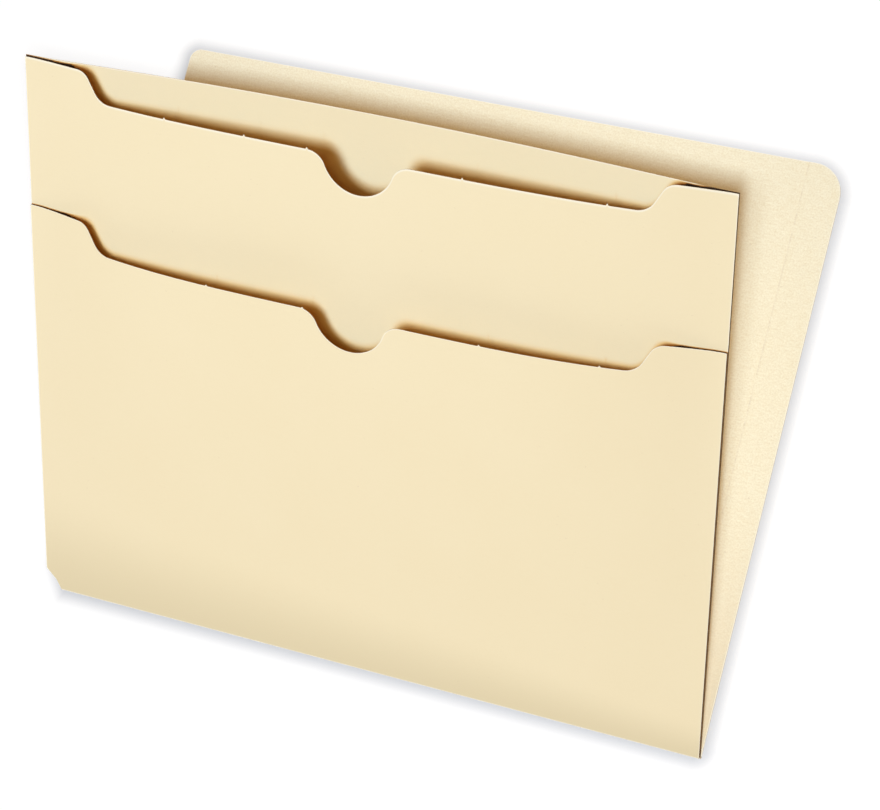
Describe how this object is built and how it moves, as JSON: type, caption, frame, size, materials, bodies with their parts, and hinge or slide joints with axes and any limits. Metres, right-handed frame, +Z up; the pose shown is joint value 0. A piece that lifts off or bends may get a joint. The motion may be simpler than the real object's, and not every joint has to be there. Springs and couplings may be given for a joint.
{
  "type": "side tab file folder",
  "caption": "Card file folder with a scored fold, a reinforced side tab on its back cover and stacked thumb-cut pockets on the outside of its front cover.",
  "frame": {"origin": "middle of the back cover's outer face, which the folder rests on", "axes": "+X along the fold, towards the side tab; +Y from the fold across the back cover; +Z up out of the back cover, towards the front cover"},
  "size_m": [0.2984, 0.2418, 0.1352],
  "materials": {
    "manila_inside": "matte",
    "manila_outside": "matte",
    "glue": "satin"
  },
  "bodies": {
    "back_half": {"back_cover": "manila_inside", "tab_reinforcement": "manila_inside", "tab_adhesive": "glue", "fold_crease": "manila_outside"},
    "front_half": {"front_cover": "manila_outside", "upper_pocket": "manila_outside", "lower_pocket": "manila_outside", "upper_pocket_glue_left": "glue", "upper_pocket_glue_right": "glue", "upper_pocket_glue_bottom": "glue", "lower_pocket_glue_left": "glue", "lower_pocket_glue_right": "glue", "lower_pocket_glue_bottom": "glue"}
  },
  "joints": [
    {"name": "cover_fold", "type": "hinge", "parent": "back_half", "child": "front_half", "pos_m": [0, -0.12065, 0.0012], "axis": [1, 0, 0], "range_deg": [-31.5, 142], "stiffness_Nm_per_rad": 0.08, "springref_deg": 27.33}
  ]
}
